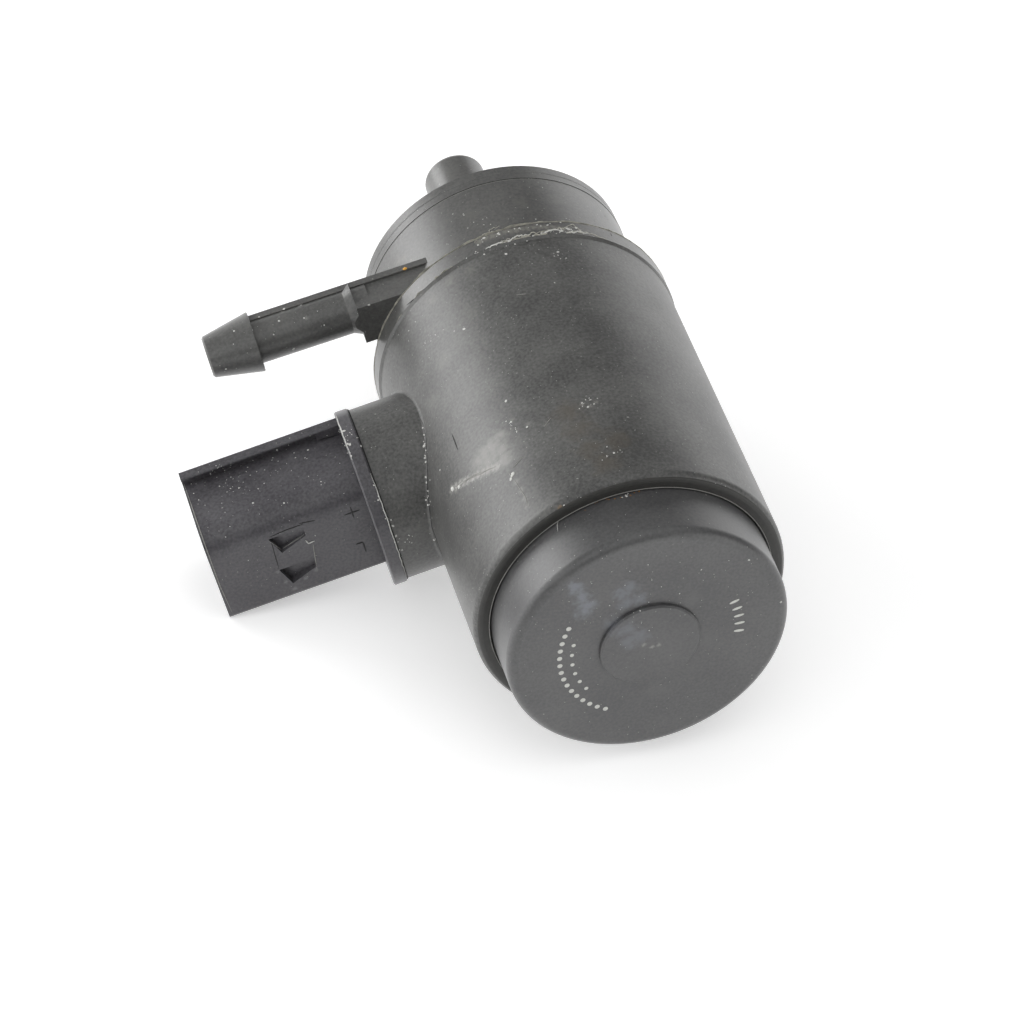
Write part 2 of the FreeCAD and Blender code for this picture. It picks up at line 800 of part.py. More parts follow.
def catch_pockets():
    """Two slanted pockets on the near face for the plug's catch, deep towards the mouth."""
    outer = mouth - catch_from_mouth
    inner = outer - catch_length
    face = -shroud_near
    floor = [(outer, face - 1, 0), (outer, face + catch_depth, 0),
             (inner, face + catch_shallow_depth, 0), (inner, face - 1, 0)]
    wire = outline(floor, lambda p: Vector(-p.x, neck_y + p.y, -shroud_bottom))
    wedge = solid_of(Part.Face(wire), lambda f: f.extrude(Vector(0, 0, shroud_height)))
    pockets = []
    for side in (1, -1):
        top = catch_above_axis + side * catch_pitch / 2
        corners = [(outer, top, 0), (inner, top, 0), (inner, top - catch_height / 2, 0),
                   (outer - catch_slant, top - catch_height, 0)]
        wire = outline(corners, lambda p: Vector(-p.x, neck_y + face - 1, p.y))
        prism = solid_of(Part.Face(wire), lambda f: f.extrude(Vector(0, shroud_width, 0)))
        pockets.append(prism.common(wedge))
    return pockets


def pin_slot(side):
    """Slot for a pin through the connector's floor."""
    z = side * pin_pitch / 2
    return block((-mouth, neck_y - pin_thickness / 2, z - pin_width / 2),
                 (-pin_shoulder(), neck_y + pin_thickness / 2, z + pin_width / 2))


def connector_seal():
    """Ring in the groove of the connector's plug."""
    groove_start = neck_reach - socket_groove_from_flange - seal_groove_width
    return turned_on_neck(ring_seal(groove_start, socket_plug_r()))


def pump_nodes():
    """Every piece by name, in the pump's own frame."""
    nodes = {
        "motor_housing": motor_housing(),
        "end_cap": end_cap(),
        "cap_seal": cap_seal(),
        "pump_head": pump_head(),
        "pump_cover": pump_cover(),
        "impeller": impeller(),
        "motor_shaft": motor_shaft(),
        "shaft_seal": shaft_seal(),
        "seal_retainer": tube(body_length, seal_start, shaft_r + air_gap, seal_r),
        "motor_can": motor_can(),
        "magnet_upper": magnet(-90.0),
        "magnet_lower": magnet(90.0),
        "magnet_spring_left": magnet_spring(180.0),
        "magnet_spring_right": magnet_spring(0.0),
        "armature_core": armature_core(),
        "rotor_spacer": tube(core_end, front_washer_start, shaft_r, shaft_r + rotor_spacer_wall),
        "commutator_hub": tube(commutator_start, core_start, shaft_r, commutator_r - commutator_wall),
        "commutator_segments": commutator_segments(),
        "rear_washer": tube(commutator_start - washer_thickness, commutator_start, shaft_r, washer_r),
        "front_washer": tube(front_washer_start, front_washer_start + washer_thickness, shaft_r, washer_r),
        "front_bearing": tube(front_bearing_start, front_bearing_end, shaft_r + running_gap, bearing_r),
        "rear_bearing": tube(carrier_front - bearing_length, carrier_front,
                             shaft_r + running_gap, bearing_r),
        "brush_carrier": brush_carrier(),
        "connector_socket": connector_socket(),
        "connector_seal": connector_seal(),
    }
    for index in range(3):
        nodes["armature_coil_%d" % (index + 1)] = armature_coil(index)
    for name, side in (("positive", 1), ("negative", -1)):
        nodes["brush_" + name] = brush(side)
        nodes["brush_spring_" + name] = brush_spring(side)
        nodes["lead_" + name] = lead(side)
        nodes["pin_" + name] = connector_pin(side)
    return nodes


def to_rest(shape, shift=Vector()):
    """Turn a shape from the pump's frame to the way it lies, and move it."""
    placed = shape.copy()
    placed.rotate(Vector(), Y_AXIS, -math.degrees(rest_tilt))
    placed.translate(shift)
    return placed


def lying_shift(nodes):
    """The move that puts the middle of the lying pump's base at the origin."""
    box = FreeCAD.BoundBox()
    for shape in nodes.values():
        box.add(to_rest(shape).optimalBoundingBox(False))
    return Vector(-box.Center.x, -box.Center.y, -box.ZMin)


def main():
    nodes = pump_nodes()
    shift = lying_shift(nodes)
    os.makedirs("parts", exist_ok=True)
    for name, shape in nodes.items():
        placed = to_rest(shape, shift)
        placed.exportStep("parts/%s.step" % name)
    print("rest tilt %.4f degrees" % math.degrees(rest_tilt))
    lie = FreeCAD.Rotation(Y_AXIS, -math.degrees(rest_tilt))
    outlet_turn = FreeCAD.Rotation(Y_AXIS, outlet_turn_deg)
    places = {
        "shaft line": Vector(0, 0, 0),
        "holder stretch, middle": Vector(0, (neck_y - neck_r) / 2, 0),
        "inlet, middle": Vector(0, (cover_end + inlet_end) / 2, 0),
        "outlet tip": outlet_turn.multVec(Vector(-outlet_reach, outlet_y, outlet_offset)),
        "connector mouth": Vector(-mouth, neck_y, 0),
    }
    for label, point in places.items():
        spot = lie.multVec(point) + shift
        print("%s %.4f %.4f %.4f" % (label, spot.x, spot.y, spot.z))
    directions = {
        "connector direction": Vector(-1, 0, 0),
        "outlet direction": outlet_turn.multVec(Vector(-1, 0, 0)),
    }
    for label, way in directions.items():
        way = lie.multVec(way)
        print("%s %.6f %.6f %.6f" % (label, way.x, way.y, way.z))


main()
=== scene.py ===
# %% [markdown]
# A windshield washer pump, dressed for a studio photograph.
# The pump is a small plastic machine: a round motor housing, a welded pump head with a hose barb,
# an inlet spigot that pushes into the washer tank, and a socket for a two-pin plug.
# Its solid parts are already modelled to size, and they are loaded here as a fixed frame.
# They could be modelled here as well, but then sizes, fits and looks would be changed together.
# This lesson gives them their surfaces, adds the small marks that moulding, welding and use leave,
# along with strands and patches of painted highlight and shade, and sets up the floor, the light and the
# camera.

import json
import math
import random

import bmesh
import bpy
from mathutils import Matrix, Vector, noise
from mathutils.bvhtree import BVHTree


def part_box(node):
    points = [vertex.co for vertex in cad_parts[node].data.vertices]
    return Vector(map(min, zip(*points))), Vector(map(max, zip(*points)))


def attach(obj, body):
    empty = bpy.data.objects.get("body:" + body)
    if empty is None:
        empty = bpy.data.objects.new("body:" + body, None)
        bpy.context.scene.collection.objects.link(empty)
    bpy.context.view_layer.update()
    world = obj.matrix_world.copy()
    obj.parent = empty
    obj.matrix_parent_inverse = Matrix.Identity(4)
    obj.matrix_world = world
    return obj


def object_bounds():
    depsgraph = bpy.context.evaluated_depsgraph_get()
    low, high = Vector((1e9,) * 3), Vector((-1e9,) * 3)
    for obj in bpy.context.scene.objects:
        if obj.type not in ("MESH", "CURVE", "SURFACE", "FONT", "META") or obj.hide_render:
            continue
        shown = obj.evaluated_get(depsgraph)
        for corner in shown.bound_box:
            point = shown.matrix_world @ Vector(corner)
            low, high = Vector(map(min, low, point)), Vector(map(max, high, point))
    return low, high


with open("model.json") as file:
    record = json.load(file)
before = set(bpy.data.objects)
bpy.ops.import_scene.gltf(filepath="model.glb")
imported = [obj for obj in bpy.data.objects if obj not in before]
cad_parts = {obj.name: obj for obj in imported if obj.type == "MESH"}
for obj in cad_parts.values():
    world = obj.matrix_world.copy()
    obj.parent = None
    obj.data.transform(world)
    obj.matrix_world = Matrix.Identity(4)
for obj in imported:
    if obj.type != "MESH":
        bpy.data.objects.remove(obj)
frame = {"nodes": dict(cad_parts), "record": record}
nodes = frame["nodes"]
cad_low, cad_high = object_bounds()
print("frame loaded:", len(nodes), "nodes, in mm", [round(x * 1000, 1) for x in cad_high - cad_low])

# %% [markdown]
# The pump lies on its side, so its own directions are not those of the floor.
# Three of them are worth having by name: along the shaft towards the inlet, out towards the plug,
# and up, square to both. The frame's own record says where the connector points,
# and the turned pump cover gives the shaft's line, so no number has to be typed twice.

# %% The pump's own directions
MM = 0.001
mounts = {m["name"]: m for m in frame["record"]["mounts"]}
OUT = Vector(mounts["connector"]["axis"]).normalized()
ALONG = Vector((0, 1, 0))
UP = (-OUT).cross(ALONG)
cover_low, cover_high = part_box("pump_cover")
rim_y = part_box("motor_housing")[0].y
ORIGIN = Vector(((cover_low.x + cover_high.x) / 2, rim_y, (cover_low.z + cover_high.z) / 2))


def at(out, along, up):
    """Point in the frame, from millimetres out from the shaft, along it from the open rim, and up."""
    return ORIGIN + (OUT * out + ALONG * along + UP * up) * MM


print("rim centre in mm", [round(x / MM, 2) for x in ORIGIN])

# %% [markdown]
# Colours are written the way a paint chart or an image editor gives them, as sRGB hex values.
# Blender's sockets want linear light, so one function turns the first into the second.
# A second small function adds a node, sets its inputs and makes its links in one line,
# which keeps each material short enough to read.

# %% Colour and node helpers


def linear(hex_colour, alpha=1.0):
    """Linear RGBA from an sRGB hex string such as 5a5b58."""
    channels = [int(hex_colour[i:i + 2], 16) / 255 for i in (0, 2, 4)]
    out = [c / 12.92 if c <= 0.04045 else ((c + 0.055) / 1.055) ** 2.4 for c in channels]
    return (*out, alpha)


def add(tree, kind, links=None, props=None, **inputs):
    """Add a node: inputs sets sockets by name, links joins sockets to other nodes' outputs."""
    node = tree.nodes.new(kind)
    for name, value in (props or {}).items():
        setattr(node, name, value)
    for name, value in inputs.items():
        node.inputs[name.replace("_", " ")].default_value = value
    for name, source in (links or {}).items():
        tree.links.new(source, node.inputs[name])
    return node


def new_material(name):
    """An empty material with its tree, a Principled shader and an output."""
    material = bpy.data.materials.new(name)
    material.use_nodes = True
    tree = material.node_tree
    tree.nodes.clear()
    shader = tree.nodes.new("ShaderNodeBsdfPrincipled")
    output = tree.nodes.new("ShaderNodeOutputMaterial")
    tree.links.new(shader.outputs["BSDF"], output.inputs["Surface"])
    return material, tree, shader


# %% [markdown]
# The camera looks down on the pump from its cap end, from well back with a long lens,
# which is how a small product is usually photographed: the sides stay almost parallel.
# Its place is given from the pump's own origin, in millimetres, and its right and up directions
# fix how it is turned.

# %% Camera
CAMERA_FROM_ORIGIN = Vector((-131.818, -343.052, 337.946)) * MM
CAMERA_RIGHT = Vector((0.962113, -0.264, 0.068132))
CAMERA_UP = Vector((0.127321, 0.656, 0.743944))
CAMERA_LENS = 158.203
SENSOR_WIDTH = 36

camera = bpy.data.objects.new("camera", bpy.data.cameras.new("camera"))
bpy.context.scene.collection.objects.link(camera)
camera.data.sensor_fit = "HORIZONTAL"
camera.data.sensor_width = SENSOR_WIDTH
camera.data.lens = CAMERA_LENS
camera.data.clip_start = 0.01
camera.data.clip_end = 20
backwards = CAMERA_RIGHT.cross(CAMERA_UP)
turn = Matrix((CAMERA_RIGHT, CAMERA_UP, backwards)).transposed().to_4x4()
CAMERA_PLACE = ORIGIN + CAMERA_FROM_ORIGIN
camera.matrix_world = Matrix.Translation(CAMERA_PLACE) @ turn
bpy.context.scene.camera = camera
print("camera", round(CAMERA_FROM_ORIGIN.length / MM), "mm away, lens", CAMERA_LENS)

# %% [markdown]
# Small marks are easiest to describe by where they are in a photograph taken with this camera.
# A ray through a pixel finds the surface that carries the mark, its facing and its node,
# so every mark then sits on the pump itself and stays there from any side.

# %% From a pixel to the surface
PICTURE = 1024
FOCAL_PIXELS = CAMERA_LENS / SENSOR_WIDTH * PICTURE
OUTER = ("motor_housing", "end_cap", "pump_head", "pump_cover", "connector_socket")
graph = bpy.context.evaluated_depsgraph_get()
skins = {name: BVHTree.FromObject(nodes[name], graph) for name in OUTER}


def struck(start, way):
    """First outer surface that a ray meets: place, normal and node name, or None."""
    best, best_distance = None, math.inf
    for name, skin in skins.items():
        place, normal, _, distance = skin.ray_cast(start, way)
        if place is not None and distance < best_distance:
            best, best_distance = (place, normal, name), distance
    return best


def seen(px, py):
    """What the camera sees of the pump at a pixel."""
    beside, above = px - PICTURE / 2, PICTURE / 2 - py
    way = CAMERA_RIGHT * beside + CAMERA_UP * above - backwards * FOCAL_PIXELS
    return struck(CAMERA_PLACE, way.normalized())


print("the picture's middle shows", seen(PICTURE / 2, PICTURE / 2)[2])

# %% [markdown]
# The pump stands on a sheet of white card. The card is plain diffuse white.
# To the camera alone it glows a little, so that the background comes out white
# while the pump's own shadow stays. In reflections it glows more, as a lit sweep of card would,
# and that paints the pale bands along the lower flanks of the barrel.

# %% Floor
FLOOR_HALF = 1.5
FLOOR_COLOUR = "f4f4f4"
GLOW_TO_CAMERA = 0.42
GLOW_IN_REFLECTIONS = 1.0
FLOOR_BELOW = 0.02 * MM


def card_material():
    """White card that looks white to the camera and to reflections, and keeps the shadow."""
    material, tree, shader = new_material("white_studio_card")
    shader.inputs["Base Color"].default_value = linear(FLOOR_COLOUR)
    shader.inputs["Roughness"].default_value = 0.9
    shader.inputs["Specular IOR Level"].default_value = 0.1
    path = add(tree, "ShaderNodeLightPath")
    direct = add(tree, "ShaderNodeMath", {0: path.outputs["Is Camera Ray"]},
                 {"operation": "MULTIPLY"})
    direct.inputs[1].default_value = GLOW_TO_CAMERA
    glow = add(tree, "ShaderNodeMath", {0: path.outputs["Is Glossy Ray"], 2: direct.outputs[0]},
               {"operation": "MULTIPLY_ADD"})
    glow.inputs[1].default_value = GLOW_IN_REFLECTIONS
    shader.inputs["Emission Color"].default_value = (1, 1, 1, 1)
    tree.links.new(glow.outputs[0], shader.inputs["Emission Strength"])
    return material


floor_mesh = bmesh.new()
bmesh.ops.create_grid(floor_mesh, x_segments=1, y_segments=1, size=FLOOR_HALF)
floor_data = bpy.data.meshes.new("floor")
floor_mesh.to_mesh(floor_data)
floor_mesh.free()
floor = bpy.data.objects.new("floor", floor_data)
floor.location.z = cad_low.z - FLOOR_BELOW
bpy.context.scene.collection.objects.link(floor)
floor.data.materials.append(card_material())
print("floor made,", FLOOR_HALF * 2, "m wide")

# %% [markdown]
# The light of a small product tent: its roof is a soft pale patch overhead, its walls hang low
# all round, strongest behind and to the left. Low walls leave the upward faces of dark plastic dark
# and light the flanks, which is what gives a matte barrel its long pale bands.
# Each wall panel is a square lamp at one distance, given by its compass direction
# (0 to the right, 90 behind the inlet, 180 on the plug's side) and its height angle.

# %% Lights
PANEL_DISTANCE = 0.75
PANEL_SIZE = 0.5
PANELS = [
    # direction and height in degrees, watts
    ("wall_behind_left", 135, 6, 4.8),
    ("wall_behind_right", 45, 8, 1.6),
    ("wall_left", 180, 9, 2.4),
    ("wall_front_right", 315, 12, 1.8),
    ("wall_front_left", 225, 35, 1.2),
    ("wall_behind", 90, 12, 1.0),
    ("roof_front", 270, 62, 0.4),
    ("roof_right", 0, 62, 0.25),
]
ROOF_STRENGTH = 0.84
HORIZON_STRENGTH = 0.09
# How far up each change of brightness lies, from 0 under the floor to 1 overhead.
HORIZON_ENDS = 0.18
DARK_BEGINS = 0.24
DARK_ENDS = 0.76
ROOF_BEGINS = 0.84

world = bpy.data.worlds.new("studio_tent")
bpy.context.scene.world = world
world.use_nodes = True
tent = world.node_tree
around = add(tent, "ShaderNodeTexCoord")
height = add(tent, "ShaderNodeSeparateXYZ", {"Vector": around.outputs["Generated"]})
roof = add(tent, "ShaderNodeValToRGB", {"Fac": height.outputs["Z"]})
ramp = roof.color_ramp
ramp.elements[0].color = (HORIZON_STRENGTH,) * 3 + (1,)
ramp.elements[1].color = (ROOF_STRENGTH,) * 3 + (1,)
ramp.elements[1].position = ROOF_BEGINS
for position, level in ((HORIZON_ENDS, HORIZON_STRENGTH), (DARK_BEGINS, 0.0), (DARK_ENDS, 0.0)):
    ramp.elements.new(position).color = (level,) * 3 + (1,)
tent.links.new(roof.outputs["Color"], tent.nodes["Background"].inputs["Color"])

for name, direction, rise, watts in PANELS:
    data = bpy.data.lights.new(name, "AREA")
    data.size = PANEL_SIZE
    data.energy = watts
    lamp = bpy.data.objects.new(name, data)
    turn, lift = math.radians(direction), math.radians(rise)
    toward = Vector((math.cos(lift) * math.cos(turn), math.cos(lift) * math.sin(turn), math.sin(lift)))
    lamp.location = ORIGIN + toward * PANEL_DISTANCE
    lamp.rotation_euler = toward.to_track_quat("Z", "Y").to_euler()
    bpy.context.scene.collection.objects.link(lamp)
print("panels:", [panel[0] for panel in PANELS])

# %% [markdown]
# The housing, the cap, the head and the cover are glass-filled nylon, injection moulded
# in a dark grey. The mould is finely spark-eroded, so the skin is matte, with a faint grain
# and slow changes of shade where the melt flowed. Handling has left pale scuffs, dried water stains
# and pinhead specks of dust. Grain finer than a pixel would vanish, so it is drawn 0.25 mm across.

# %% Marks within a material
# The edge of each stain, and of each painted highlight laid the same way: how coarse it is
# and how far it strays, as shares of the radius, and where it begins and is full.
RAGGED_SCALE = 0.45
RAGGED_REACH = 1.6
STAIN_AND_HIGHLIGHT_EDGE = (0.2, -0.8)


def lay_stains_and_highlights(tree, place, colour, stains_and_highlights):
    """Lay soft, ragged stain patches and painted highlight patches over a colour: centres, a radius in
    mm, a hex colour and a strength.
    """
    for centres, radius, stain_and_highlight_colour, strength in stains_and_highlights:
        near = None
        for centre in centres:
            gap = add(tree, "ShaderNodeVectorMath", {0: place}, {"operation": "DISTANCE"})
            gap.inputs[1].default_value = centre
            if near is None:
                near = gap.outputs["Value"]
            else:
                near = add(tree, "ShaderNodeMath", {0: near, 1: gap.outputs["Value"]},
                           {"operation": "MINIMUM"}).outputs[0]
        ragged = add(tree, "ShaderNodeTexNoise", {"Vector": place},
                     Scale=1 / (radius * RAGGED_SCALE * MM), Detail=5.0)
        reach = add(tree, "ShaderNodeMath", {0: ragged.outputs["Fac"], 2: near},
                    {"operation": "MULTIPLY_ADD"})
        reach.inputs[1].default_value = -radius * RAGGED_REACH * MM
        mask = add(tree, "ShaderNodeMapRange", {"Value": reach.outputs[0]},
                   {"interpolation_type": "SMOOTHSTEP"})
        for socket, share in zip(("From Min", "From Max"), STAIN_AND_HIGHLIGHT_EDGE):
            mask.inputs[socket].default_value = radius * share * MM
        mask.inputs["To Max"].default_value = strength
        blend = add(tree, "ShaderNodeMix", {"Factor": mask.outputs["Result"]}, {"data_type": "RGBA"})
        tree.links.new(colour, blend.inputs["A"])
        blend.inputs["B"].default_value = linear(stain_and_highlight_colour)
        colour = blend.outputs["Result"]
    return colour


def pinpricks(tree, place, spacing_mm, radius_mm, share):
    """A mask of tiny dots: one cell in so many carries one."""
    cells = add(tree, "ShaderNodeTexVoronoi", {"Vector": place}, Scale=1 / (spacing_mm * MM))
    small = add(tree, "ShaderNodeMath", {0: cells.outputs["Distance"]}, {"operation": "LESS_THAN"})
    small.inputs[1].default_value = radius_mm / spacing_mm
    lot = add(tree, "ShaderNodeSeparateColor", {"Color": cells.outputs["Color"]})
    chosen = add(tree, "ShaderNodeMath", {0: lot.outputs["Red"]}, {"operation": "LESS_THAN"})
    chosen.inputs[1].default_value = share
    return add(tree, "ShaderNodeMath", {0: small.outputs[0], 1: chosen.outputs[0]},
               {"operation": "MULTIPLY"}).outputs[0]


print("marks ready: stains and pinpricks")

# %% [markdown]
# Each moulded part gets its own grey, because each came from its own mould and its own batch.
# A colour picture laid on the surface would do it too, but it would need unwrapping and would stretch
# on the round parts. Noise in the object's own space runs on over every edge, as a real flow shade does.
# Nylon and PBT bend light much alike, so both have an IOR of 1.53, and the mould's grain gives
# them a roughness near 0.4.

# %% Moulded plastics
FLOW_MM = 9
MOTTLE_MM = 0.34
GRAIN_MM = 0.25
GRAIN_DEPTH_MM = 0.018
GLOSS_CHANGE = 0.04
PLASTIC_IOR = 1.53
# Between these sums of the two noises, the shade goes from the darker to the paler grey.
DARKER_AT, PALER_AT = 0.75, 1.25
PRICK_SPACING_MM = 0.6
PRICK_RADIUS_MM = 0.055


def moulded_plastic(name, colour, flow_colour, roughness, stains_and_highlights=(), dust_colour="9a9a96",
                    dust_share=0.34, shine=0.5):
    """Matte moulded plastic with a flow shade, grain, uneven gloss, stain patches, painted highlight
    patches and dust.
    """
    material, tree, shader = new_material(name)
    place = add(tree, "ShaderNodeTexCoord").outputs["Object"]
    flow = add(tree, "ShaderNodeTexNoise", {"Vector": place}, Scale=1 / (FLOW_MM * MM), Detail=3.0)
    mottle = add(tree, "ShaderNodeTexNoise", {"Vector": place}, Scale=1 / (MOTTLE_MM * MM), Detail=4.0)
    grain = add(tree, "ShaderNodeTexNoise", {"Vector": place}, Scale=1 / (GRAIN_MM * MM), Detail=2.0)
    mixed = add(tree, "ShaderNodeMath", {0: flow.outputs["Fac"], 1: mottle.outputs["Fac"]},
                {"operation": "ADD"})
    spread = add(tree, "ShaderNodeMapRange", {"Value": mixed.outputs[0]})
    spread.inputs["From Min"].default_value = DARKER_AT
    spread.inputs["From Max"].default_value = PALER_AT
    shade = add(tree, "ShaderNodeMix", {"Factor": spread.outputs["Result"]}, {"data_type": "RGBA"})
    shade.inputs["A"].default_value = linear(colour)
    shade.inputs["B"].default_value = linear(flow_colour)
    # stains, and on the plug painted highlights, laid over the flow shade
    stained_and_highlighted = lay_stains_and_highlights(tree, place, shade.outputs["Result"], stains_and_highlights)
    pricks = pinpricks(tree, place, PRICK_SPACING_MM, PRICK_RADIUS_MM, dust_share)
    dusty = add(tree, "ShaderNodeMix", {"Factor": pricks}, {"data_type": "RGBA"})
    tree.links.new(stained_and_highlighted, dusty.inputs["A"])
    dusty.inputs["B"].default_value = linear(dust_colour)
    tree.links.new(dusty.outputs["Result"], shader.inputs["Base Color"])
    gloss = add(tree, "ShaderNodeMapRange", {"Value": mottle.outputs["Fac"]})
    gloss.inputs["To Min"].default_value = roughness - GLOSS_CHANGE
    gloss.inputs["To Max"].default_value = roughness + GLOSS_CHANGE
    tree.links.new(gloss.outputs["Result"], shader.inputs["Roughness"])
    bump = add(tree, "ShaderNodeBump", {"Height": grain.outputs["Fac"]}, Strength=0.5,
               Distance=GRAIN_DEPTH_MM * MM)
    tree.links.new(bump.outputs["Normal"], shader.inputs["Normal"])
    shader.inputs["IOR"].default_value = PLASTIC_IOR
    shader.inputs["Specular IOR Level"].default_value = shine
    return material


def spots(*pixels):
    """Places on the pump at some pixels."""
    return [seen(px, py)[0] for px, py in pixels]


# Each stain, and each painted highlight on the plug: places by pixel, radius in mm, colour and strength.
HOUSING_STAINS = [
    # a long pale scuff near the rim, with a broad smear beside it
    (spots((452, 489), (456, 487), (460, 484), (464, 482), (468, 480), (473, 478), (478, 475),
           (483, 473), (488, 470), (493, 468), (497, 466)), 0.8, "a6a5a0", 0.7),
    (spots((478, 462), (485, 454), (492, 447), (498, 440), (501, 450), (504, 459), (494, 456),
           (487, 464)), 1.9, "8a8985", 0.6),
    (spots((516, 482), (521, 490), (525, 498), (527, 506)), 0.6, "8a8985", 0.45),
    # a rubbed patch and a brownish smudge where oil has dried
    (spots((582, 404), (590, 406), (596, 402)), 0.5, "8d8b86", 0.5),
    (spots((432, 300), (450, 280), (470, 270)), 1.2, "777671", 0.35),
    (spots((568, 412), (580, 430), (592, 448), (606, 462), (616, 440)), 2.6, "544c40", 0.45),
    (spots((560, 508), (576, 506), (592, 503), (612, 498), (634, 493)), 0.5, "8a6c44", 0.6),
    (spots((470, 312), (444, 360), (432, 402)), 1.8, "6d6d69", 0.4),
    (spots((528, 424), (512, 420), (546, 424)), 0.5, "7f7e7a", 0.45),
]
CAP_STAINS = [
    (spots((576, 588), (582, 598), (588, 606), (584, 612)), 1.5, "80848c", 0.6),
    (spots((622, 594), (630, 588), (638, 600), (626, 604)), 1.5, "767a82", 0.5),
    (spots((614, 624), (626, 630), (640, 636), (630, 642)), 1.7, "74777e", 0.5),
    (spots((644, 645), (652, 647), (659, 645)), 0.4, "a3a29d", 0.5),
    (spots((690, 600), (705, 640), (660, 690), (560, 570)), 2.2, "5a5a5a", 0.4),
]
HEAD_STAINS = [
    (spots((344, 295), (350, 312), (358, 330)), 0.6, "7b7b77", 0.3),
    (spots((470, 215), (520, 202), (556, 200)), 1.4, "63635f", 0.5),
    (spots((282, 312), (300, 306), (306, 318)), 0.4, "9b9b96", 0.4),
    # dust caught against the flange
    (spots((480, 241), (486, 238), (492, 236), (498, 234), (504, 232), (510, 231), (516, 230),
           (522, 229), (528, 228), (534, 227), (540, 227), (546, 227), (552, 227), (558, 228),
           (564, 229)), 0.75, "96948b", 0.45),
    (spots((398, 262), (404, 258), (410, 262), (404, 270)), 0.7, "6f6c66", 0.4),
]
PLUG_STAINS_AND_HIGHLIGHTS = [
    # painted highlights on the two lit lower walls of the catch's lower pocket
    (spots((278, 572), (286, 582), (294, 589)), 0.4, "8b8a8b", 0.5),
    (spots((296, 588), (306, 578), (316, 570)), 0.4, "87868a", 0.5),
    # a paler band along the shroud's top, just below the rail's groove
    (spots((200, 486), (240, 478), (262, 470), (290, 458)), 0.9, "68676b", 0.4),
]

finishes = {
    "housing_plastic": moulded_plastic("glass_filled_nylon_dark_grey", "3d3d3c", "61615f", 0.46,
                                       stains_and_highlights=HOUSING_STAINS),
    "connector_plastic": moulded_plastic("pbt_connector_grey", "413f43", "5d5c5f", 0.40,
                                         stains_and_highlights=PLUG_STAINS_AND_HIGHLIGHTS, shine=0.36),
    "inner_plastic": moulded_plastic("acetal_inner_natural", "d8d4c6", "cfcabb", 0.4,
                                     dust_colour="cfcabb"),
    "seal_rubber": moulded_plastic("nitrile_rubber_black", "1c1c1d", "242425", 0.6, dust_share=0.05),
    "magnet_ferrite": moulded_plastic("sintered_ferrite", "2b2b2d", "343436", 0.7, dust_share=0.02),
    "brush_carbon": moulded_plastic("brush_carbon_graphite", "1e1e20", "2a2a2c", 0.55, dust_share=0.02),
}
CAP_PLASTIC = moulded_plastic("glass_filled_nylon_cap", "414142", "555555", 0.42, stains_and_highlights=CAP_STAINS)
HEAD_PLASTIC = moulded_plastic("glass_filled_nylon_head", "494948", "60605e", 0.38, stains_and_highlights=HEAD_STAINS)
print("plastics:", [m.name for m in finishes.values()])

# %% [markdown]
# Inside are the motor's metals: a zinc-plated can, a ground shaft, laminated iron, bronze and copper.
# Brushed or turned metal can be given stretched streaks, but closed inside a pump they'd never be seen.
# So one function gives each its colour and an uneven gloss, and leaves the metal's IOR as it is.

# %% Metals
STREAK_MM = 0.3
METAL_GLOSS_CHANGE = 0.08


def worked_metal(name, colour, roughness):
    """Metal with fine uneven gloss from drawing, rolling or turning."""
    material, tree, shader = new_material(name)
    place = add(tree, "ShaderNodeTexCoord").outputs["Object"]
    streak = add(tree, "ShaderNodeTexNoise", {"Vector": place}, Scale=1 / (STREAK_MM * MM), Detail=4.0)
    gloss = add(tree, "ShaderNodeMapRange", {"Value": streak.outputs["Fac"]})
    gloss.inputs["To Min"].default_value = roughness - METAL_GLOSS_CHANGE
    gloss.inputs["To Max"].default_value = roughness + METAL_GLOSS_CHANGE
    tree.links.new(gloss.outputs["Result"], shader.inputs["Roughness"])
    shader.inputs["Base Color"].default_value = linear(colour)
    shader.inputs["Metallic"].default_value = 1.0
    return material


finishes["can_steel"] = worked_metal("zinc_plated_drawn_steel", "b9bdbf", 0.35)
finishes["shaft_steel"] = worked_metal("ground_shaft_steel", "c6c6c4", 0.2)
finishes["core_steel"] = worked_metal("laminated_electrical_steel", "8d8f92", 0.45)
finishes["spring_steel"] = worked_metal("blued_spring_steel", "7d8086", 0.3)
finishes["bearing_bronze"] = worked_metal("sintered_bearing_bronze", "a9763f", 0.5)
finishes["copper"] = worked_metal("enamelled_copper_wire", "b5592e", 0.3)
finishes["contact_bronze"] = worked_metal("tinned_contact_bronze", "c9c2b4", 0.3)
print("finishes in all:", len(finishes))

# %% [markdown]
# The record names a material slot for every node, so each could be given its finish by hand,
# or, as here, by a loop that looks its slot up. Cap, head and cover share the housing's plastic,
# but came from other moulds, so they have a finish of their own.

# %% Give every node its finish
slot_of = {part["node"]: part["material_slot"] for part in frame["record"]["subparts"]}
OWN_FINISH = {"end_cap": CAP_PLASTIC, "pump_head": HEAD_PLASTIC, "pump_cover": HEAD_PLASTIC}

for name, node in nodes.items():
    node.data.materials.clear()
    node.data.materials.append(OWN_FINISH.get(name, finishes[slot_of[name]]))
print("finished nodes:", len(nodes))

# %% [markdown]
# Hot-plate welding squeezes a thin ragged lip of plastic out of each joint: one where the barrel
# meets the head's flange, one on the flange's far edge. It has gone pale where it was stretched.
# The lip is a fine strip wrapped round the shaft. A noise decides how far it stands out,
# and it stands highest on the top, where the moulding parted last.

# %% Weld lips
SEED = 7
chance = random.Random(SEED)


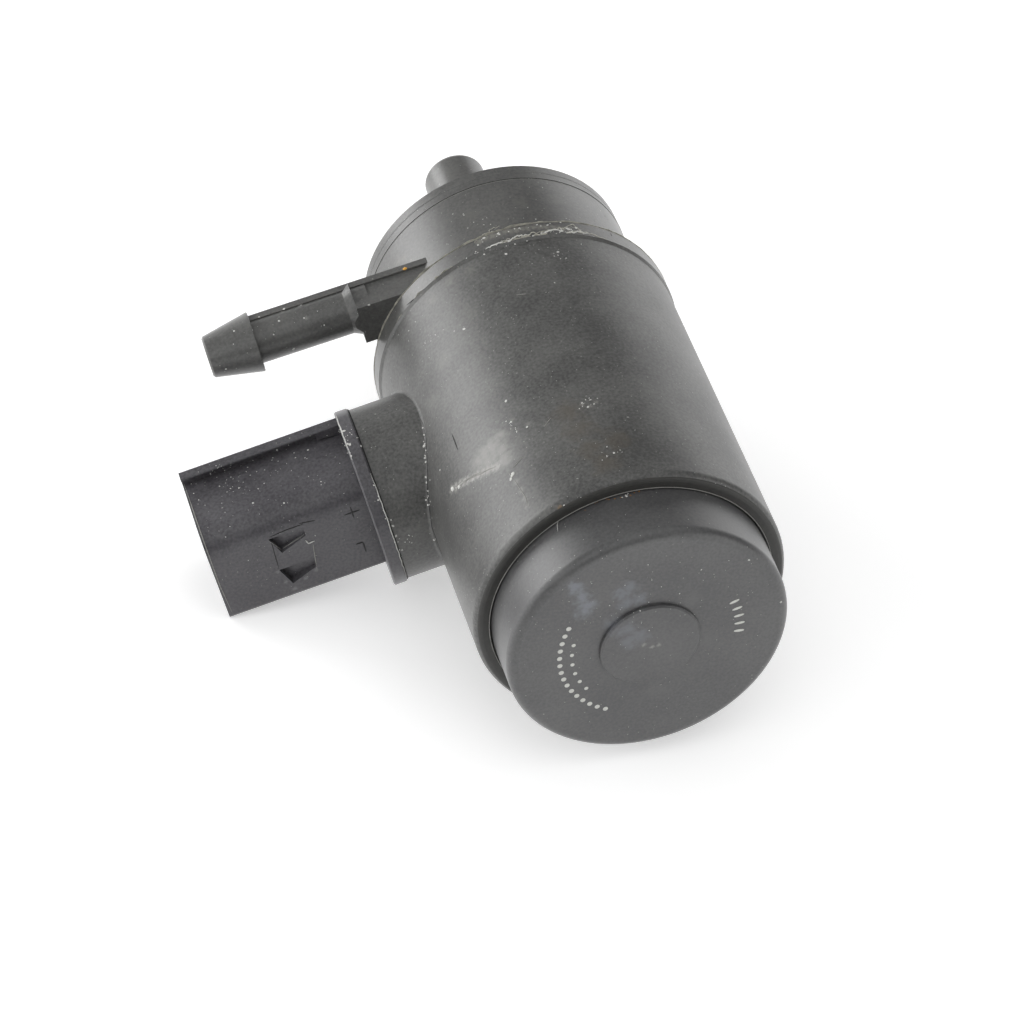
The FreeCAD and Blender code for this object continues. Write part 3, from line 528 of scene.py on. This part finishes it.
def plain_finish(name, colour, roughness, mottle_mm=0.4, other_colour=None):
    """A simple mottled finish for small marks."""
    material, tree, shader = new_material(name)
    place = add(tree, "ShaderNodeTexCoord").outputs["Object"]
    mottle = add(tree, "ShaderNodeTexNoise", {"Vector": place}, Scale=1 / (mottle_mm * MM), Detail=3.0)
    shade = add(tree, "ShaderNodeMix", {"Factor": mottle.outputs["Fac"]}, {"data_type": "RGBA"})
    shade.inputs["A"].default_value = linear(colour)
    shade.inputs["B"].default_value = linear(other_colour or colour)
    tree.links.new(shade.outputs["Result"], shader.inputs["Base Color"])
    shader.inputs["Roughness"].default_value = roughness
    return material


STRETCHED = plain_finish("stress_whitened_nylon", "efecdd", 0.6, mottle_mm=0.7, other_colour="4d4c48")
LINT = plain_finish("pale_dust_and_lint", "e6e6e2", 0.9, other_colour="b4b4b0")
FILM = plain_finish("fine_grey_dust", "b0b0ac", 0.9, other_colour="6f6f6c")
# dark strands: real dark lines on the cover seam and scratches, and painted shade in the flange's gap
# and on the plug's catch
DARK_LINES_AND_PAINTED_SHADE = plain_finish("dark_lines_with_painted_shade", "161616", 0.8, other_colour="222222")
# dark strands whose colour paints shade: in the cut signs, and over the fillet at the neck joint
SIGN_AND_JOINT_PAINTED_SHADE = plain_finish("painted_shade_of_signs_and_joint", "232324", 0.7, other_colour="303031")
# the rim bead's dark colour is painted shade on the rim's face
RIM_PAINTED_SHADE = plain_finish("rim_face_painted_shade", "272726", 0.6, mottle_mm=0.6, other_colour="3a3936")
# pale strands: rubbed edges on the scratches, and painted highlights on the cover seam, the rim and the
# plug
WORN_EDGE_AND_HIGHLIGHT = plain_finish("rubbed_edge_and_painted_highlight", "a3a29d", 0.5, other_colour="6c6c69")
PRINT = plain_finish("pale_pad_print", "e2e2dd", 0.6, other_colour="c2c2bc")
GOLD = plain_finish("brass_swarf", "f0b648", 0.5, other_colour="c08a34")
RUST = plain_finish("rust_grains", "9a6d3c", 0.9, other_colour="6d5238")


def finish_piece(name, mesh, material):
    """Turn a bmesh into a piece that rides on the pump."""
    bmesh.ops.recalc_face_normals(mesh, faces=mesh.faces)
    data = bpy.data.meshes.new(name)
    mesh.to_mesh(data)
    mesh.free()
    data.materials.append(material)
    piece = bpy.data.objects.new(name, data)
    bpy.context.scene.collection.objects.link(piece)
    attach(piece, "pump")
    return piece


# How deep the lip's foot is sunk in the flange, in mm.
BURIED = 0.25
# How closely its tatters and its broad waves follow each other, and its share of height below.
TATTERS = 9
WAVES = 2.2
LEAST_HEIGHT = 0.12


def weld_lip(name, along, radius, low, high, width, seed, material):
    """A ragged lip round the shaft, low to high mm tall, width mm thick."""
    around, across = 540, 4
    mesh = bmesh.new()
    bmesh.ops.create_grid(mesh, x_segments=around, y_segments=across, size=0.5)
    for vert in mesh.verts:
        angle = (vert.co.x + 0.5) * math.tau
        turned = (vert.co.y + 0.5) * math.tau
        out, up = math.cos(angle), math.sin(angle)
        ragged = noise.fractal(Vector((out * TATTERS, up * TATTERS, seed)), 0.6, 2.2, 4)
        broad = noise.noise(Vector((out * WAVES, up * WAVES, seed + 5)))
        share = max(0.0, min(1.0, 0.35 + ragged * 0.8 + broad * 0.5))
        top = max(0.0, math.sin(angle)) ** 2
        tall = low + (high - low) * share * (LEAST_HEIGHT + (1 - LEAST_HEIGHT) * top)
        stand = radius - BURIED + max(0.0, math.cos(turned)) * (tall + BURIED)
        sideways = math.sin(turned) * width * 0.5 + ragged * 0.05
        vert.co = at(out * stand, along + sideways, up * stand)
    bmesh.ops.remove_doubles(mesh, verts=mesh.verts, dist=0.000001)
    return finish_piece(name, mesh, material)


# Radii and places along the shaft, in mm, as the solids have them.
FLANGE_R = 18.2
HEAD_R = 16.0
WELD_ALONG = 42.5
FLANGE_END = 44.9
COVER_SEAM = 56.0
COVER_EDGE = 57.2

weld_lip("weld_lip_barrel", WELD_ALONG, FLANGE_R, -0.30, 0.42, 0.12, 3.0, STRETCHED)
weld_lip("weld_lip_flange", FLANGE_END - 0.05, FLANGE_R, 0.02, 0.22, 0.08, 8.0, STRETCHED)
print("weld lips made")

# %% [markdown]
# A thin dark bead covers the rim's flat end, where the cap meets the barrel, and laps a little
# over its rounded edge; its dark colour paints the shade on the rim's face. Its cross-section is drawn
# once and spun round the shaft. A torus would be quicker, but the bead lies flat where the rim is flat.
# A small fillet of the head's plastic, spun in the same way, fills the step at the barrel's weld.

# %% Rim shade bead and weld fillet
BEAD_PROFILE = [
    # radius and place along the shaft in mm
    (16.22, -0.05), (17.1, -0.06), (17.4, -0.01), (17.56, 0.07), (17.62, 0.16), (17.4, 0.25),
    (17.1, 0.1), (16.22, 0.1),
]
FILLET_PROFILE = [(17.95, 42.1), (18.01, 42.08), (18.19, 42.48), (17.95, 42.52)]


def spun(name, profile, material, segments=144):
    """A closed cross-section of radius and place along, spun round the shaft."""
    mesh = bmesh.new()
    verts = [mesh.verts.new(at(radius, along, 0)) for radius, along in profile]
    edges = [mesh.edges.new(pair) for pair in zip(verts, verts[1:] + verts[:1])]
    bmesh.ops.spin(mesh, geom=verts + edges, cent=ORIGIN, axis=ALONG, angle=math.tau,
                   steps=segments, use_merge=True)
    return finish_piece(name, mesh, material)


# a dark bead whose colour paints the shade on the rim's flat face
spun("rim_painted_shade_bead", BEAD_PROFILE, RIM_PAINTED_SHADE)
spun("weld_fillet", FILLET_PROFILE, HEAD_PLASTIC)
print("sealant and fillet spun")

# %% [markdown]
# Lines that lie on the skin, such as seams, scratches and hairs, are fine round strands,
# laid along pixels of the photograph and half sunk in the surface. Some pale strands are painted
# highlights along edges, and some dark ones are painted shade. They could be painted into the material,
# but a thin solid strand keeps its sharp edge and catches light as a real one does.

# %% Strands
LONGEST_GAP = 1.5 * MM
# A strand's thickness at its tip, and how fast it grows from there.
TIP, TAPER = 0.35, 3


def unbroken(line):
    """Split a line where it jumps to a surface behind, so that nothing hangs in the air."""
    runs = [[line[0]]] if line else []
    for before, after in zip(line, line[1:]):
        if (after - before).length > LONGEST_GAP:
            runs.append([])
        runs[-1].append(after)
    return [run for run in runs if len(run) > 1]


def strands(name, lines, thickness, material, closed=False):
    """One curve piece of several strands: lists of points, and how thick in mm."""
    data = bpy.data.curves.new(name, "CURVE")
    data.dimensions = "3D"
    data.bevel_depth = thickness / 2 * MM
    data.bevel_resolution = 1
    for line in [run for line in lines for run in unbroken(line)]:
        spline = data.splines.new("POLY")
        spline.points.add(len(line) - 1)
        for number, (point, place) in enumerate(zip(spline.points, line)):
            point.co = (*place, 1)
            ends = min(number, len(line) - 1 - number) / max(1, len(line) - 1)
            point.radius = 1 if closed else min(1.0, TIP + ends * TAPER)
        spline.use_cyclic_u = closed
    data.materials.append(material)
    piece = bpy.data.objects.new(name, data)
    bpy.context.scene.collection.objects.link(piece)
    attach(piece, "pump")
    return piece


def along_pixels(*pixels, lift=0.01, step=3.0, waver=0.0):
    """Points on the skin along a broken line of pixels, lift mm above it."""
    line = []
    for (x0, y0), (x1, y1) in zip(pixels, pixels[1:]):
        count = max(2, round(math.hypot(x1 - x0, y1 - y0) / step))
        for number in range(count):
            share = number / count
            px = x0 + (x1 - x0) * share + chance.uniform(-waver, waver)
            py = y0 + (y1 - y0) * share + chance.uniform(-waver, waver)
            found = seen(px, py)
            if found:
                line.append(found[0] + found[1] * lift * MM)
    found = seen(*pixels[-1])
    if found:
        line.append(found[0] + found[1] * lift * MM)
    return line


def ring(along, radius, count=180):
    """Points round the shaft."""
    turns = [number / count * math.tau for number in range(count)]
    return [at(math.cos(turn) * radius, along, math.sin(turn) * radius) for turn in turns]


FINE_STEP = 2.2
WELD_CHIPS = [
    # pixels along the line, and how far it wavers in pixels
    (((474, 256), (486, 251), (498, 246.5)), 1.0),
    (((500, 246), (510, 242), (522, 239)), 1.0),
    (((484, 250), (496, 244), (506, 241)), 1.1),
    (((506, 241), (518, 236.5), (530, 234)), 1.1),
    (((528, 238), (540, 236), (552, 235)), 0.8),
    (((540, 233), (552, 231), (564, 230)), 1.0),
    (((566, 233), (578, 232), (590, 234.5)), 0.7),
]
WELD_THREADS = [
    (((498, 242), (512, 238), (534, 233), (552, 229), (574, 228)), 1.3),
    (((560, 235), (577, 231.5), (592, 234), (607, 240)), 0.9),
    (((560, 230), (572, 224), (582, 232), (566, 231)), 0.4),
    (((474, 243), (482, 236), (492, 229), (500, 226)), 0.9),
]
PALE_SCRATCHES = [
    (((516, 295), (526, 294)), 0.0),
    (((544, 427), (551, 418)), 0.0),
    (((513, 468), (523, 457)), 0.0),
    (((514, 480), (526, 498), (527, 506)), 0.0),
    (((451, 489), (468, 480), (480, 474), (496, 466)), 0.8),
    (((455, 486), (470, 478), (484, 471)), 0.8),
    (((509, 473), (513, 480)), 0.0),
]
DARK_SCRATCHES = [
    ((452, 434), (458, 450)),
    ((407, 305), (413, 300), (420, 297)),
    ((608, 229), (612, 236)),
]
HAIR = ((559, 518), (557.5, 525), (558, 532))

strands("cover_joint_line", [ring(COVER_SEAM, HEAD_R - 0.005)], 0.09, DARK_LINES_AND_PAINTED_SHADE, closed=True)
# a pale ring beside the cover seam: painted highlight
strands("cover_joint_glint", [ring(COVER_SEAM - 0.13, HEAD_R - 0.015)], 0.07, WORN_EDGE_AND_HIGHLIGHT, closed=True)
# a pale ring on the rim's inner edge: painted highlight
strands("rim_painted_highlight", [ring(-0.1, 16.34)], 0.1, WORN_EDGE_AND_HIGHLIGHT, closed=True)
strands("cover_edge_fill", [ring(COVER_EDGE, HEAD_R - 0.085)], 0.22, HEAD_PLASTIC, closed=True)
strands("barrel_weld_chips", [along_pixels(*line, waver=waver, step=FINE_STEP)
                              for line, waver in WELD_CHIPS], 0.18, LINT)
strands("barrel_weld_threads", [along_pixels(*line, waver=waver, step=FINE_STEP)
                                for line, waver in WELD_THREADS], 0.10, STRETCHED)
strands("pale_scratches", [along_pixels(*line, waver=waver) for line, waver in PALE_SCRATCHES],
        0.10, WORN_EDGE_AND_HIGHLIGHT)
strands("dark_scratches", [along_pixels(*line) for line in DARK_SCRATCHES], 0.12, DARK_LINES_AND_PAINTED_SHADE)
strands("white_hair", [along_pixels(*HAIR, lift=0.05)], 0.07, LINT)
print("strands on barrel and head laid")

# %% [markdown]
# The plug's flange sits on the neck with a gap behind it, whose shade is painted as a dark strand, and
# fine flash shines on its edges.
# Pixels would make these lines waver, because the surface drops away right beside them,
# so they are drawn as arcs round the neck, whose place and radius are known.

# %% Lines of the plug
NECK_ALONG = 29.1
NECK_R = 10.25
FLANGE_BACK = 22.38
FLANGE_FRONT = 23.9
flange_r = (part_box("connector_socket")[1].y - ORIGIN.y) / MM - NECK_ALONG


def neck_arc(out, radius, start, end, step=4.0, waver=0.0):
    """Points round the neck, from one angle to another: 90 is up, 180 towards the cap."""
    line = []
    for number in range(round((end - start) / step) + 1):
        turn = math.radians(start + number * step)
        away = radius + chance.uniform(-waver, waver)
        out_here = out + chance.uniform(-waver, waver)
        line.append(at(out_here, NECK_ALONG + math.cos(turn) * away, math.sin(turn) * away))
    return line


NECK_JOINT = ((415, 409), (423, 424), (426, 437), (427.5, 465), (427.5, 493), (432, 527), (445, 563))
# pale lines on the mouth's near edge and on the catch's edges: painted highlights
PLUG_HIGHLIGHT_PIXELS = [
    ((313, 543.6), (315, 557), (317.3, 571.4)),
    ((184, 484), (191, 504), (205, 545), (220, 586), (232, 612)),
    ((269.4, 541.4), (276, 546), (281.6, 550)),
    ((283, 548.6), (293, 542), (303.7, 535)),
]
CATCH_FLASH = ((305.5, 540), (308.5, 543.2), (314.4, 540.7))
# dark lines in the catch pockets and past the end of the rail's groove: painted shade
PLUG_SHADE_PIXELS = [
    ((299, 523.6), (315, 520.4)),
    ((270, 537), (274, 552), (279, 569)),
    ((270, 537), (286, 530), (303, 524)),
    ((318, 440), (342, 434)),
]

# a dark ring in the gap behind the flange: painted shade
strands("flange_gap_painted_shade", [neck_arc(FLANGE_BACK, NECK_R + 0.02, 0, 356)], 0.26, DARK_LINES_AND_PAINTED_SHADE,
        closed=True)
strands("flange_white_line", [neck_arc(FLANGE_BACK + 0.06, flange_r - 0.03, 122, 206, waver=0.05),
                              neck_arc(FLANGE_FRONT, flange_r - 0.03, 62, 112, waver=0.04)],
        0.13, LINT)
# a dark strand over the fillet at the neck joint, painting shade over its highlight
strands("neck_joint_painted_shade", [along_pixels(*NECK_JOINT, lift=-0.03, step=5)], 0.16, SIGN_AND_JOINT_PAINTED_SHADE)
strands("plug_painted_highlights", [along_pixels(*line) for line in PLUG_HIGHLIGHT_PIXELS], 0.12, WORN_EDGE_AND_HIGHLIGHT)
strands("catch_flash", [along_pixels(*CATCH_FLASH, lift=0.05)], 0.17, LINT)
strands("plug_painted_shade_lines", [along_pixels(*line) for line in PLUG_SHADE_PIXELS], 0.12, DARK_LINES_AND_PAINTED_SHADE)
print("lines of the plug laid")

# %% [markdown]
# The two poles are marked beside the plug with a plus and a minus, cut into the flange.
# They are general signs that any such plug carries. A text object could write them, but a few
# straight strands half sunk in the plastic look more like the cut of a mould. Their dark colour paints
# the shade inside the cut.

# %% Pole signs


def stroke(middle, way, length):
    """A short straight line through a point, length mm long."""
    return [middle + way * length / 2 * MM * share for share in (-1, -0.5, 0, 0.5, 1)]


PLUS_PIXEL = (352, 512.5)
MINUS_PIXEL = (364.5, 547)
MINUS_FOOT = (UP * 0.85 + OUT * 0.4) * MM

plus_place = seen(*PLUS_PIXEL)[0]
minus_place = seen(*MINUS_PIXEL)[0]
strands("pole_signs", [stroke(plus_place, OUT, 1.9), stroke(plus_place, UP, 1.8),
                       stroke(minus_place, UP, 1.7), stroke(minus_place + MINUS_FOOT, OUT, 0.9)],
        0.2, SIGN_AND_JOINT_PAINTED_SHADE)
print("plus sign at", [round(x / MM, 1) for x in plus_place], "mm")

# %% [markdown]
# The cap's face carries two places for printing. Here they hold plain dots and ticks
# as counting marks, in the pale ink that such caps are printed with. Each is a flat cone of its own,
# because pad ink stands a little proud and has a sharp edge, which a painted patch would lose.

# %% Print on the cap
CAP_FACE = -7.2
PRINT_HEIGHT = 0.04


def printed(name, spots_on_face, length, width):
    """Small rounded print marks on the cap's face: angle in degrees and radius in mm each."""
    mesh = bmesh.new()
    for angle, radius in spots_on_face:
        turn = math.radians(angle)
        radial = OUT * math.cos(turn) + UP * math.sin(turn)
        beside = UP * math.cos(turn) - OUT * math.sin(turn)
        turned = Matrix((beside, radial, -ALONG)).transposed().to_4x4()
        middle = at(math.cos(turn) * radius, CAP_FACE, math.sin(turn) * radius)
        place = Matrix.Translation(middle) @ turned
        shape = Matrix.Diagonal((width / 2 * MM, length / 2 * MM, PRINT_HEIGHT * MM, 1))
        bmesh.ops.create_cone(mesh, cap_ends=True, segments=16, radius1=1, radius2=0.94, depth=1,
                              matrix=place @ shape)
    return finish_piece(name, mesh, PRINT)


# Angles and radii on the face, and sizes in mm.
OUTER_DOTS = [(38 - 6.2 * number, 10.3) for number in range(15)]
INNER_DOTS = [(24 - 9.5 * number, 8.9) for number in range(6)]
TICKS = [(171 + 6.5 * number, 10.3) for number in range(5)]

printed("cap_dots", OUTER_DOTS, 0.62, 0.62)
printed("cap_dots_inner", INNER_DOTS, 0.5, 0.5)
printed("cap_ticks", TICKS, 1.25, 0.36)
print("cap printed")

# %% [markdown]
# Dust gathers on everything. The larger specks are placed as the photograph shows them,
# and several hundred finer ones fall at random wherever a ray from above meets the skin.
# A particle system could scatter them, but rays give each grain its place and facing at once,
# and a seeded chance lays the same dust every time.

# %% Dust


def speck(mesh, place, normal, size, stretch=1.0):
    """One flattened grain, size mm across, lying on the skin."""
    turned = normal.to_track_quat("Z", "Y").to_matrix().to_4x4()
    spin = Matrix.Rotation(chance.uniform(0, math.tau), 4, "Z")
    shape = Matrix.Diagonal((size / 2 * stretch, size / 2, size / 5, 1))
    bmesh.ops.create_icosphere(mesh, subdivisions=1, radius=MM,
                               matrix=Matrix.Translation(place) @ turned @ spin @ shape)


SPECKS = [
    # pixel across, pixel down, size in pixels
    (506, 254, 2.6), (558, 252, 2.6), (464, 329, 3.0), (506, 401, 3.0), (511, 422, 2.4),
    (527, 427, 2.4), (614, 453, 2.6), (582, 403, 2.0), (588, 407, 2.4), (594, 404, 1.8),
    (590, 400, 1.6), (512, 476, 3.6), (452.5, 489, 5.0), (459, 487, 4.0), (513, 474, 5.0),
    (511, 479, 3.6), (424, 446, 3.0), (425, 458, 2.0), (430, 480, 2.0), (428, 505, 2.2),
    (434, 540, 2.4), (344, 431, 3.0), (348, 444, 2.6), (350, 445, 2.2), (361, 446, 2.6),
    (781, 602, 3.0), (749, 560, 2.4), (284, 309, 2.8), (301, 305, 2.4), (279, 321, 2.4),
    (304, 318, 2.0), (259, 317, 2.2), (234, 331, 2.2), (226, 369, 2.0), (369, 305, 2.6),
    (239, 488, 2.2), (253, 503, 2.4), (284, 503, 2.2), (277, 450, 2.4), (308, 450, 2.2),
    (350, 444, 2.4), (340, 432, 2.0), (393, 526, 2.6), (396, 536, 2.4), (402, 550, 2.6),
    (391, 520, 2.0), (484, 238, 3.0), (492, 232, 2.4), (478, 245, 2.4), (568, 229, 4.0),
    (576, 228, 3.4), (562, 231, 3.0), (293.6, 349, 3.0), (440, 470, 2.0), (426, 500, 2.2),
]
DUSTY_PLACES = [
    # middle in pixels, spread in pixels, how many
    (225, 480, 18, 46), (290, 462, 26, 30), (346, 436, 7, 16), (250, 520, 26, 20),
    (404, 540, 5, 10), (540, 236, 34, 30), (470, 215, 34, 18), (290, 318, 30, 12),
    (430, 330, 26, 12), (590, 405, 7, 12), (611, 453, 6, 8), (512, 426, 8, 8),
    (640, 600, 60, 24), (560, 250, 30, 10),
]
CHIPPED_LINES = [
    # two ends in pixels, how many chips, how far they stray in pixels
    ((474, 256), (502, 245), 22, 1.2), ((502, 245), (532, 237), 18, 1.0),
    ((536, 235), (580, 230), 20, 1.6), ((476, 240), (512, 229), 10, 1.0),
    ((512, 229), (560, 222), 8, 0.8), ((423, 424), (427, 490), 12, 0.7),
    ((427, 490), (436, 545), 10, 0.7), ((336, 417), (350, 456), 12, 0.9),
    ((374, 484), (402, 560), 16, 0.9), ((662, 262), (676, 290), 6, 0.8),
    ((455, 488), (462, 484), 5, 0.8), ((560, 506), (636, 490), 14, 2.0),
]
PIXELS_PER_MM = 8.9
FINE_DUST = 700
DUST_SPHERE = 0.2

placed = bmesh.new()
for px, py, across in SPECKS:
    found = seen(px, py)
    if found:
        speck(placed, found[0], found[1], across / PIXELS_PER_MM, chance.uniform(1.0, 1.5))
for centre_x, centre_y, spread, count in DUSTY_PLACES:
    for number in range(count):
        found = seen(chance.gauss(centre_x, spread), chance.gauss(centre_y, spread * 0.6))
        if found:
            speck(placed, found[0], found[1], chance.uniform(0.06, 0.16), chance.uniform(1.0, 1.6))
for (from_x, from_y), (to_x, to_y), count, stray in CHIPPED_LINES:
    for number in range(count):
        share = chance.random()
        found = seen(from_x + (to_x - from_x) * share + chance.gauss(0, stray),
                     from_y + (to_y - from_y) * share + chance.gauss(0, stray))
        if found:
            speck(placed, found[0], found[1], chance.uniform(0.08, 0.26), chance.uniform(1.0, 2.0))
finish_piece("placed_specks", placed, LINT)

BRASS_PIXEL = (405, 269)
BRASS_LIFT = 0.05 * MM

gold = bmesh.new()
found = seen(*BRASS_PIXEL)
speck(gold, found[0] + found[1] * BRASS_LIFT, found[1], 0.5, 1.2)
finish_piece("brass_speck", gold, GOLD)

GRAIN_VERTS = 12
LARGEST_GRAIN = 0.2

fine = bmesh.new()
while len(fine.verts) < FINE_DUST * GRAIN_VERTS:
    way = Vector((chance.gauss(0, 1), chance.gauss(0, 1), abs(chance.gauss(0, 1)) + 0.2)).normalized()
    goal = Vector([chance.uniform(low, high) for low, high in zip(cad_low, cad_high)])
    found = struck(goal + way * DUST_SPHERE, -way)
    if found:
        size = min(LARGEST_GRAIN, 0.05 + chance.expovariate(32))
        speck(fine, found[0], found[1], size, chance.uniform(1.0, 2.2))
finish_piece("fine_dust", fine, FILM)

# A faint brown line of rust grains: its ends across, its height at the first and its slope.
RUST_FROM, RUST_TO = 556, 640
RUST_DOWN, RUST_SLOPE, RUST_STRAY = 514, 0.27, 2.5
RUST_GRAINS = 34

rust = bmesh.new()
for number in range(RUST_GRAINS):
    px = chance.uniform(RUST_FROM, RUST_TO)
    py = RUST_DOWN - (px - RUST_FROM) * RUST_SLOPE + chance.gauss(0, RUST_STRAY)
    found = seen(px, py)
    speck(rust, found[0], found[1], chance.uniform(0.08, 0.2), 1.5)
finish_piece("rust_grains", rust, RUST)
print("dust:", len(SPECKS), "placed and", FINE_DUST, "fine specks")

# %% [markdown]
# Last, the picture is shown as plain sRGB, so that a grey renders as it was written.
# A filmic view would soften the highlights, but it would also shift every matched grey.

# %% View transform
bpy.context.scene.view_settings.view_transform = "Standard"
